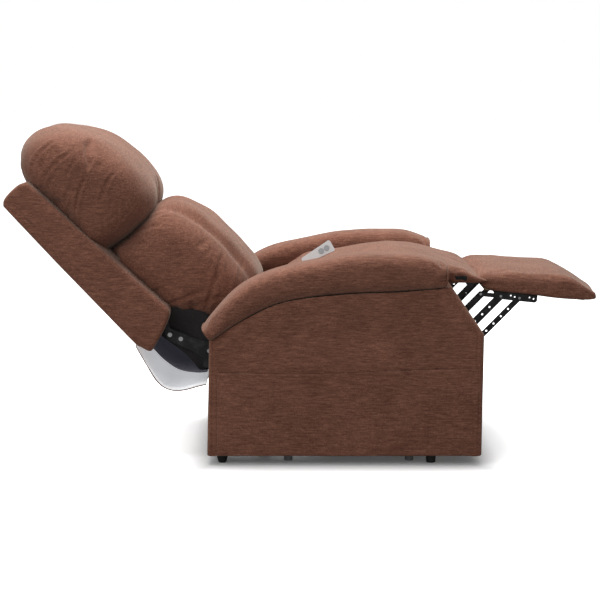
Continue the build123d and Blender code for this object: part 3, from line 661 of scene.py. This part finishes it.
def side_panel(side, name):
    """Upholstered side of the chair, wrapped round the front and rear of one arm."""
    flat = ARM_OUT - PANEL_CORNER
    turn = [(PANEL_CORNER * (1 - math.cos(a)), flat + PANEL_CORNER * math.sin(a))
            for a in np.linspace(0, 1.57, 6)]
    plan = [("rear", 0.0, y) for y in np.arange(ARM_IN, flat, 9.0)]
    plan += [("rear", inset, y) for inset, y in turn]
    plan += [("side", share, ARM_OUT) for share in np.linspace(0, 1, 96)[1:-1]]
    plan += [("front", inset, y) for inset, y in turn[::-1]]
    plan += [("front", 0.0, y) for y in np.arange(flat, ARM_IN - 1, -9.0)[1:]]
    rows = 70
    verts = []
    for kind, value, y in plan:
        top = 500.0
        for _ in range(30):
            x = panel_x(kind, value, top)
            top = 0.5 * top + 0.5 * (seam_height(x) + 6.0)
        heights = np.linspace(PANEL_LOW, top, rows)
        verts += [(panel_x(kind, value, z), side * y, z) for z in heights]
    obj = build(name, verts, grid_faces(len(plan), rows), "fabric_x")
    modify(obj, "SOLIDIFY", thickness=4.0 * MM, offset=-1.0 if panel_outward(obj, side) else 1.0)
    subdivide(obj)
    return obj


def panel_outward(obj, side):
    """Whether the side panel's normals point away from the chair."""
    places, normals = read(obj)
    flat = np.abs(np.abs(places[:, 1]) - ARM_OUT) < 0.5
    return (normals[flat, 1] * side).mean() > 0


def dress_side_panel(obj, side):
    """Edge seams and soft waves of the side panel."""
    places, normals = read(obj)
    outer = np.abs(places[:, 1]) > ARM_OUT - 2.5
    wave = smooth_field(places, 210, 5) * 1.7 + smooth_field(places, 75, 9) * 0.5
    places[outer, 1] += side * wave[outer]
    write(obj, places)
    y = side * ARM_OUT
    low = [(PANEL_FRONT - 24, y, PANEL_LOW + 4), (CHAMFER_LOW[0] - 20, y, CHAMFER_LOW[1] - 6),
           (CHAMFER_HIGH[0] - 8, y, CHAMFER_HIGH[1] - 22)]
    crease(obj, np.array(low), 3.0, 2.6, 0.6, fade=False)
    back = [(PANEL_REAR + 16, y, PANEL_LOW + 4), (PANEL_REAR + 22, y, 380)]
    crease(obj, np.array(back), 3.0, 1.8, 0.5, fade=False)


def side_pocket(name):
    """Wide magazine pocket sewn on one side panel, open along its hemmed top."""
    xs = np.linspace(POCKET_REAR, POCKET_FRONT, 150)
    rows = np.linspace(0, 1, 50)
    margin = 26.0
    hem_start = 0.965
    verts = []
    for x in xs:
        top = np.interp(x, *zip(*POCKET_HEM))
        edge = min(1.0, (x - POCKET_REAR) / margin, (POCKET_FRONT - x) / margin)
        for g in rows:
            slack = 2.0 + 4.2 * edge * g**3 + 1.2 * edge * math.sin(x / 47.0 + 3 * g) * g
            if g > hem_start:
                slack += 2.4 * edge * math.sin(math.pi * (g - hem_start) / (1 - hem_start))
            verts.append((x, -(ARM_OUT + slack), POCKET_LOW + g * (top - POCKET_LOW)))
    obj = build(name, verts, grid_faces(len(xs), len(rows)), "fabric_x")
    modify(obj, "SOLIDIFY", thickness=2.2 * MM, offset=0.0)
    subdivide(obj)
    ripple(obj, 170, 1.2, 13)
    y = -(ARM_OUT + 2)
    for start, end in (((-360, y, 262), (-250, y, 140)), ((-300, y, 120), (-180, y, 60)),
                       ((330, y, 260), (392, y, 180))):
        crease(obj, np.array([start, end], float), 9.0, 1.8, 0.4)
    return obj


def roll_section(angle, half):
    """Share of the height, and Y, of a point round the arm pad's section."""
    c, s = math.cos(angle), math.sin(angle)
    share = 0.5 + 0.5 * math.copysign(abs(s) ** 0.72, s)
    tuck = 1 - 0.13 * max(0.0, 0.35 - share) / 0.35
    return share, ROLL_CENTRE + half * tuck * math.copysign(abs(c) ** 0.62, c)


def arm_pad(side, name):
    """Stuffed roll on one arm, from its slanted rear end to its pleated front end."""
    stations, ring = 120, 72
    low = curve_points(ARM_SEAM, stations)
    crest = curve_points(ARM_CREST, stations)
    verts = []
    for i, u in enumerate(np.linspace(0, 1, stations)):
        squeeze = 0.04 * math.exp(-u / 0.010) + 0.12 * math.exp(-(1 - u) / 0.012)
        for a in np.linspace(0, 2 * math.pi, ring, endpoint=False):
            share, y = roll_section(a, ROLL_HALF * (1 - squeeze))
            x, z = low[i] + (crest[i] - low[i]) * (share * (1 - 0.2 * squeeze) + 0.06 * squeeze)
            verts.append((x, side * y, z))
    verts = np.array(verts)
    faces = grid_faces(stations, ring, wrap=True)
    bulges = ((0.86, 3.0), (0.62, 5.0), (0.34, 6.0), (0.1, 6.5))
    crown = 6.6
    for base, swell in ((0, -0.15), ((stations - 1) * ring, 1.0)):
        rim = verts[base:base + ring]
        middle = rim.mean(axis=0)
        for share, bulge in bulges:
            start = len(verts)
            verts = np.vstack([verts, middle + (rim - middle) * share + (bulge * swell, 0, 0)])
            faces += join_rings(base, start, ring)
            base = start
        faces += [(base + c, base + (c + 1) % ring, len(verts)) for c in range(ring)]
        verts = np.vstack([verts, middle + (crown * swell, 0, 0)])
    return build(name, verts, faces, "fabric_x")


def arm_ledge(side, name):
    """Fabric over the front end of the arm frame, between the panel's chamfer and the arm pad."""
    z = float(seam_height(ARM_SEAM[-1][0])) + 5.0
    rear, front = ARM_SEAM[-1][0] - 10.0, float(front_edge(z))
    ys = np.linspace(ARM_IN, ARM_OUT - 1, 44)
    shares = np.linspace(0, 1, 9)
    verts = []
    for y in ys:
        over = max(0.0, y - (ARM_OUT - PANEL_CORNER))
        reach = front - PANEL_CORNER + math.sqrt(PANEL_CORNER**2 - over**2)
        verts += [(rear + f * (reach - rear), side * y, z + 1.5 * math.sin(math.pi * f)) for f in shares]
    obj = build(name, verts, grid_faces(len(ys), len(shares)), "fabric_x")
    modify(obj, "SOLIDIFY", thickness=4.0 * MM, offset=0.0)
    subdivide(obj)
    return obj


def arm_rim(side, end):
    """The line round one end of an arm pad, for its piping; end is 0 at the rear and -1 at the front."""
    low, crest = np.array(ARM_SEAM[end]), np.array(ARM_CREST[end])
    line = []
    for a in np.linspace(0, 2 * math.pi, 64, endpoint=False):
        share, y = roll_section(a, 0.93 * ROLL_HALF)
        x, z = low + (crest - low) * (0.02 + 0.96 * share)
        line.append((x, side * y, z))
    return np.array(line)


def make_arms():
    """Side panels, arm pads with piping, inner panels and the pocket."""
    pocket = side_pocket("magazine_pocket")
    dress(pocket, "chassis", "side_pocket")
    for side, word in ((-1, "right"), (1, "left")):
        panel = side_panel(side, f"{word}_side_panel")
        dress_side_panel(panel, side)
        dress(panel, "chassis", f"{word}_side_cover")
        pad = arm_pad(side, f"{word}_arm_roll")
        inflate(pad, lambda p: (p[:, 2] < seam_height(p[:, 0]) + 9) | (p[:, 0] > 306),
                pressure=2.5, slack=0.02, cap=3.0)
        subdivide(pad)
        dress_arm_pad(pad, side)
        dress(pad, "chassis", f"{word}_arm_pad")
        dress(inner_panel(side, f"{word}_inner_panel"), "chassis", f"{word}_inner_cover")
        dress(arm_ledge(side, f"{word}_arm_ledge"), "chassis")
        for end, place in ((-1, "front"), (0, "rear")):
            dress(cord_loop(f"{word}_{place}_piping", arm_rim(side, end), 3.2, "fabric_x"), "chassis")


def dress_arm_pad(pad, side):
    """Gathers at the front end and a few soft dents along the roll."""
    rng = np.random.default_rng(11)
    front = ARM_CREST[-1][0] - 4
    for _ in range(13):
        share = rng.uniform(0.15, 1.0)
        reach = rng.uniform(22, 60)
        z = 545 + 60 * share
        y = side * (ARM_OUT + 18 - 34 * max(0, share - 0.55))
        line = [(front, y, z), (front - reach, y + side * 3, z + rng.uniform(-7, 4))]
        crease(pad, np.array(line), 3.0, rng.uniform(1.5, 3.2), 0.5)
    ripple(pad, 130, 1.1, 21 if side < 0 else 22)
    places, normals = read(pad)
    low = places[:, 2] < seam_height(places[:, 0]) + 8
    places[low] -= normals[low] * 1.5
    write(pad, places)


def inner_panel(side, name):
    """Fabric on the seat side of one arm."""
    columns, rows = 70, 34
    low, margin = 216.0, 4.0
    verts = []
    for f in np.linspace(0, 1, columns):
        for g in np.linspace(0, 1, rows):
            z = low + g * (seam_height(-408 + f * 818) + 8 - low)
            rear, front = rear_edge(z) + margin, front_edge(z) - margin
            x = rear + f * (front - rear)
            verts.append((x, side * (ARM_IN + 1.0), low + g * (seam_height(x) + 8 - low)))
    obj = build(name, verts, grid_faces(columns, rows), "fabric_x")
    modify(obj, "SOLIDIFY", thickness=2.5 * MM, offset=0.0)
    ripple(obj, 160, 0.35, 31)
    return obj


# --------------------------------------------------------------------- cushions
def make_headrest():
    """Top pillow of the back, with a gathered end panel."""
    st = [(318, 74), (304, 150), (298, 226), (303, 288), (340, 334), (424, 356), (520, 350), (604, 320),
          (668, 280), (716, 226), (730, 165), (706, 104), (646, 66), (540, 60), (430, 62), (360, 64)]
    outline = curve_points([back_point(s, t) for s, t in st], 132, closed=True)
    pillow = loft("headrest_pillow", outline, 284, "fabric_y", back_point(500, 215), square=0.50, dome=6)
    inflate(pillow, lambda p: np.abs(back_depth(p) - 70) < 16, pressure=3.5, slack=0.05, cap=8.0)
    subdivide(pillow)
    for side in (-1, 1):
        gather_headrest(pillow, side)
    ripple(pillow, 120, 2.0, 41)
    dress(pillow, "back", "headrest_cushion")


def back_depth(places):
    """How far each place stands in front of the shell's rear face."""
    return (places[:, [0, 2]] - BACK_CORNER) @ OFF_BACK


def on_surface(obj, points, side):
    """Move points out along Y until they lie on an object's end face."""
    places, _ = read(obj)
    half = places[:, 1] * side > 0
    flat = places[half][:, [0, 2]]
    out = []
    for x, z in points:
        near = np.linalg.norm(flat - (x, z), axis=1) < 9
        if near.any():
            out.append((x, side * (places[half][near, 1] * side).max(), z))
    return np.array(out)


def crease_on_end(obj, points, side, width, depth, ridge=0.4):
    """Crease one end of a cushion along a curve through XZ points."""
    line = on_surface(obj, curve_points(points, 24), side)
    if len(line) > 3:
        crease(obj, line, width, depth, ridge)


def gather_headrest(pillow, side):
    """Folds that run forward from the shell, the corner seam and the puckers beside the lower tuck."""
    folds = [(4.6, [(661, 251), (667, 209), (660, 151), (628, 100)]),
             (5.0, [(599, 267), (609, 208), (605, 142), (577, 96)]),
             (2.6, [(576, 256), (567, 221), (558, 188)]), (3.2, [(520, 239), (496, 186), (455, 122)]),
             (3.2, [(467, 307), (456, 262), (430, 205)]), (2.8, [(353, 271), (351, 238), (345, 205)]),
             (2.4, [(372, 230), (352, 203), (336, 160)]), (2.2, [(400, 190), (372, 168), (346, 138)]),
             (1.6, [(535, 205), (520, 160), (500, 118)]), (1.8, [(420, 250), (396, 220), (380, 186)])]
    for depth, line in folds:
        crease_on_end(pillow, [back_point(*place) for place in line], side, 4.4, depth, 0.6)
    seam = [back_point(*place) for place in ((712, 176), (671, 170), (628, 170), (590, 178))]
    crease_on_end(pillow, seam, side, 2.6, 2.6, 0.2)


def make_lumbar():
    """Lower pillow: a rounded lobe at each end and a fuller centre that spills on to the seat."""
    st = [(304, 100), (302, 180), (304, 250), (296, 306), (256, 344), (186, 366), (110, 376), (20, 376),
          (-64, 366), (-122, 334), (-136, 278), (-106, 214), (-42, 158), (10, 114), (80, 84), (200, 80)]
    outline = curve_points([back_point(s, t) for s, t in st], 128, closed=True)

    def lift(ring, y):
        """Fuller in the middle of the width, with a furrow on each side of it."""
        rise = 25 * math.exp(-((y / 172.0) ** 6)) - 10 * math.exp(-(((abs(y) - 166) / 16.0) ** 2))
        front = np.clip(((ring - BACK_CORNER) @ OFF_BACK - 230) / 130, 0, 1)
        return ring + OFF_BACK * (front * rise)[:, None]

    pillow = loft("lumbar_pillow", outline, 252, "fabric_y", back_point(100, 240), square=0.50, dome=4,
                  lift=lift)
    inflate(pillow, lambda p: back_depth(p) < 100, pressure=3.2, slack=0.05, cap=6.0)
    subdivide(pillow)
    for side in (-1, 1):
        tucks = [((302, 140), (240, 220)), ((304, 190), (250, 300)), ((306, 250), (262, 340)),
                 ((60, 120), (10, 250)), ((0, 160), (-40, 280)), ((-40, 190), (60, 372)),
                 ((-90, 250), (-10, 390))]
        for start, end in tucks:
            a, b = back_point(*start), back_point(*end)
            crease_on_end(pillow, [a, 0.5 * (a + b) + 8 * OFF_BACK, b], side, 6.0, 4.5)
    ripple(pillow, 110, 1.8, 43)
    dress(pillow, "back", "lumbar_cushion")


def make_seat():
    """Seat cushion and its front flap under one cover."""
    stations = [(-196, 470, 500, 240, 14, 0), (-188, 440, 548, 247, 40, 6), (-120, 434, 576, 249, 40, 10),
                (0, 463, 592, 249, 40, 12), (80, 482, 606, 249, 40, 13), (160, 502, 614, 249, 38, 13),
                (230, 520, 611, 249, 34, 12), (290, 542, 598, 254, 22, 10), (316, 545, 591, 257, 16, 9),
                (334, 544, 586, 258, 14, 9), (365, 543, 580, 259, 12, 8), (397, 542, 571, 259, 10, 6),
                (412, 543, 566, 259, 8, 5), (430, 545, 559, 258, 6, 3), (441, 547, 555, 257, 4, 1),
                (446, 549, 553, 256, 2, 0)]
    cushion = beam("seat_cushion_cover", stations, 150, "fabric_y")
    inflate(cushion, lambda p: (p[:, 2] < 500 + 0.12 * p[:, 0]) | (p[:, 0] > 410),
            pressure=2.5, slack=0.02, cap=8.0)
    subdivide(cushion)
    ripple(cushion, 140, 1.4, 51)
    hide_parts("seat_cushion", "flap_pad")
    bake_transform(cushion)


def foot_point(u, v):
    """XZ point of the footrest: u forward along it from its lower rear corner, v up."""
    return FOOT_CORNER + u * FOOT_FORWARD + v * FOOT_UP


def make_footrest():
    """Footrest pad: full at the rear, where it leans on the flap, and thin at the toe."""
    sides = [(-24, 30, 42, 238, 6, 0), (-16, 14, 48, 244, 16, 6), (4, 0, 53, 247, 26, 9),
             (60, -1, 58, 247, 28, 10), (130, -1, 61, 247, 28, 10), (200, -1, 65, 247, 28, 9),
             (240, -1, 68, 247, 26, 7), (268, -1, 65, 247, 24, 5), (296, 0, 55, 247, 22, 4),
             (318, 1, 45, 247, 19, 2), (332, 3, 38, 246, 16, 1), (342, 5, 34, 244, 14, 1),
             (349, 8, 30, 242, 10, 0)]
    stations = []
    for u, low, high, half, radius, crown in sides:
        x, z = foot_point(u, 0.5 * (low + high))
        stations.append((x, z - 0.5 * (high - low), z + 0.5 * (high - low), half, radius, crown))
    pad = beam("footrest_cover", stations, 150, "fabric_y", bow=4.0)
    inflate(pad, lambda p: foot_height(p) < 12, pressure=2.5, slack=0.03, cap=2.5)
    subdivide(pad)
    gather_footrest(pad)
    ripple(pad, 120, 1.3, 61)
    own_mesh(pad)
    dress(pad, "footrest", "footrest_pad")


def foot_height(places):
    """How far each place stands above the footrest's underside."""
    return (places[:, [0, 2]] - FOOT_CORNER) @ FOOT_UP


def gather_footrest(pad):
    """Small puckers along the lower edge of the pad's ends."""
    rng = np.random.default_rng(17)
    for side in (-1, 1):
        for u in np.linspace(20, 300, 17):
            start = foot_point(u, 6)
            end = foot_point(u + rng.uniform(-5, 8), rng.uniform(24, 44))
            crease_on_end(pad, [start, 0.5 * (start + end), end], side, 2.6, rng.uniform(0.8, 1.9))


# ------------------------------------------------------------------------- back
def make_back_shell():
    """Upholstered outer back: a boxed slab that the pillows sink into."""
    st = [(-4, -4), (26, -16), (60, -22), (300, -20), (600, -12), (630, -9), (643, 10), (644, 56), (636, 82),
          (608, 95), (420, 105), (200, 119), (80, 128), (54, 130), (38, 122), (24, 98), (9, 58), (-1, 18)]
    outline = curve_points([back_point(s, t) for s, t in st], 170, closed=True)
    shell = boxed("back_shell_cover", outline, 298, 13, "fabric_y", back_point(310, 58), crown=2.0)
    subdivide(shell)
    ripple(shell, 150, 1.0, 71)
    for side in (-1, 1):
        for t, y in ((16, 299), (0, 285)):
            seam = [back_point(s, t) for s in np.linspace(6, 600, 30)]
            line = [(x, side * y, z) for x, z in seam]
            crease(shell, np.array(line), 3.0, 1.6, 0.6, fade=False)
    dress(shell, "back", "back_shell")


def left_of(path):
    """Unit normals on the left of an open XZ path."""
    way = np.gradient(path, axis=0)
    way /= np.linalg.norm(way, axis=1, keepdims=True)
    return np.stack([-way[:, 1], way[:, 0]], 1)


def strip(name, path, half, material, thickness, seed, dip=0.0):
    """A sheet of cloth that follows an XZ path, with its side edges turned up by dip."""
    ys = np.linspace(-half, half, 60)
    verts = []
    for point, up in zip(path, left_of(path)):
        for y in ys:
            x, z = point + up * dip * abs(y / half) ** 10
            verts.append((x, y, z))
    piece = build(name, verts, grid_faces(len(path), len(ys)), material)
    modify(piece, "SOLIDIFY", thickness=thickness * MM, offset=0.0)
    subdivide(piece)
    ripple(piece, 120, 1.5, seed)
    return piece


def make_rear_flap():
    """Fabric tail below the back, its pale lining, the grey dust cloth in it and the dark gusset above."""
    path = curve_points([(-645, 352), (-628, 320), (-606, 284), (-578, 240), (-552, 218), (-522, 210),
                         (-488, 214), (-452, 224), (-426, 230)], 60)
    tail = strip("rear_tail", path, 290, "fabric_y", 2.4, seed=81)
    pale = strip("rear_tail_lining", path + 3.0 * left_of(path), 290, "pale_lining", 2.0, seed=81)
    dust = curve_points([(-600, 346), (-586, 330), (-568, 310), (-542, 288), (-516, 272), (-488, 264),
                         (-453, 262), (-424, 264)], 50)
    cloth = strip("rear_dust_cloth", dust, 262, "dust_cloth", 2.0, seed=83, dip=2.0)
    sides = [(-556, 452), (-590, 392), (-566, 370), (-520, 334), (-475, 292), (-447, 262), (-424, 262),
             (-402, 300), (-398, 350), (-402, 404), (-430, 446), (-500, 462)]
    outline = curve_points(sides, 120, closed=True)
    gusset = boxed("rear_gusset", outline, 233, 10, "black_cloth", (-490, 390), crown=-4.0)
    subdivide(gusset)
    ripple(gusset, 80, 2.5, 85)
    dress(tail, "back", "rear_flap")
    for piece in (pale, cloth, gusset):
        dress(piece, "back")


def make_apron():
    """Fabric across the lower back of the chair between the arms."""
    ys = np.linspace(-256, 256, 60)
    zs = np.linspace(60, 236, 24)
    verts = [(-408.5, y, z) for y in ys for z in zs]
    obj = build("rear_apron_cover", verts, grid_faces(len(ys), len(zs)), "fabric_y")
    modify(obj, "SOLIDIFY", thickness=5.0 * MM, offset=0.0)
    subdivide(obj)
    ripple(obj, 140, 1.2, 91)
    dress(obj, "chassis", "rear_apron")


# ------------------------------------------------------------- carried-over nodes
def dress_frame_nodes():
    """Give every CAD node the material of its slot, and fabric where the slot has none of its own."""
    for part in frame["record"]["subparts"]:
        node = frame["nodes"][part["node"]]
        material = MATERIALS.get(part["material_slot"], MATERIALS["fabric_y"])
        node.data.materials.clear()
        node.data.materials.append(material)


# -------------------------------------------------------------------------- stage
FOOTPRINT_HALF = 0.40              # metres from the middle of the chair to the edge of its shadow
GLOW_REACH = 0.25                  # metres beyond that edge over which the floor turns white


def make_floor():
    """Pale floor that shines outside the chair's footprint and is dark in contact with it: its camera-only
    emission fades out near the chair, a painted contact shadow.
    """
    size = 30.0
    corners = [(-size, -size, 0), (size, -size, 0), (size, size, 0), (-size, size, 0)]
    mesh = bpy.data.meshes.new("studio_floor")
    mesh.from_pydata(corners, [], [(0, 1, 2, 3)])
    floor = bpy.data.objects.new("studio_floor", mesh)
    bpy.context.scene.collection.objects.link(floor)
    s = Shader("pale_floor")
    tone = s.noise((0.8, 0.8, 0.8), detail=2.0)
    seen = s.node("ShaderNodeLightPath").outputs["Is Camera Ray"]
    pale = s.ramp(tone, [(0.3, (0.88, 0.88, 0.88)), (0.7, (0.90, 0.90, 0.90))])
    s.link(s.mix(seen, (0.30, 0.29, 0.28), pale), s.bsdf.inputs["Base Color"])
    s.set(Roughness=0.9)
    place = s.node("ShaderNodeSeparateXYZ")
    s.link(s.node("ShaderNodeTexCoord").outputs["Object"], place.inputs[0])
    # Emission dims towards the chair's footprint: a painted contact shadow, with white glow further out.
    gaps = [s.math("SUBTRACT", s.math("ABSOLUTE", place.outputs[axis], 0), FOOTPRINT_HALF) for axis in "XY"]
    away = s.math("MAXIMUM", s.math("MAXIMUM", *gaps), 0)
    contact_shadow_tones = ((0.0, 0.05), (0.08, 0.12), (0.35, 0.62), (0.75, 1.0))
    fade = s.ramp(s.math("DIVIDE", away, GLOW_REACH), [(at, (tone,) * 3) for at, tone in contact_shadow_tones])
    s.link(fade, s.bsdf.inputs["Emission Color"])
    s.link(seen, s.bsdf.inputs["Emission Strength"])
    mesh.materials.append(s.material)


def make_world():
    """White surroundings that light the chair less than they show to the camera."""
    world = bpy.data.worlds.new("studio_world")
    bpy.context.scene.world = world
    world.use_nodes = True
    tree = world.node_tree
    path = tree.nodes.new("ShaderNodeLightPath")
    level = tree.nodes.new("ShaderNodeMapRange")
    level.inputs["To Min"].default_value = 0.42
    level.inputs["To Max"].default_value = 1.0
    tree.links.new(path.outputs["Is Camera Ray"], level.inputs["Value"])
    tree.links.new(level.outputs["Result"], tree.nodes["Background"].inputs["Strength"])
    tree.nodes["Background"].inputs["Color"].default_value = (1.0, 1.0, 1.0, 1)


def make_lamp(name, place, size, power):
    """A soft area lamp that points at the middle of the chair."""
    light = bpy.data.lights.new(name, "AREA")
    light.size = size
    light.energy = power
    lamp = bpy.data.objects.new(name, light)
    bpy.context.scene.collection.objects.link(lamp)
    lamp.location = place
    aim = Vector((-0.1, 0.0, 0.45)) - lamp.location
    lamp.rotation_euler = aim.to_track_quat("-Z", "Y").to_euler()


def make_camera():
    """Side view from slightly above, as in the photograph."""
    camera = bpy.data.objects.new("view_camera", bpy.data.cameras.new("view_camera"))
    camera.data.lens = 89.88
    camera.data.sensor_width = 36.0
    camera.location = (-0.134, -4.862, 1.186)
    camera.rotation_euler = (math.radians(90 - 8.58), 0, 0)
    bpy.context.scene.collection.objects.link(camera)
    bpy.context.scene.camera = camera
    bpy.context.scene.view_settings.view_transform = "Standard"


dress_frame_nodes()
make_arms()
make_headrest()
make_lumbar()
make_seat()
make_footrest()
make_back_shell()
make_rear_flap()
make_apron()
make_floor()
make_world()
make_lamp("key_light", (-2.6, -3.2, 2.6), 2.0, 44.0)
make_lamp("top_light", (-0.5, 0.5, 3.4), 2.6, 150.0)
make_camera()
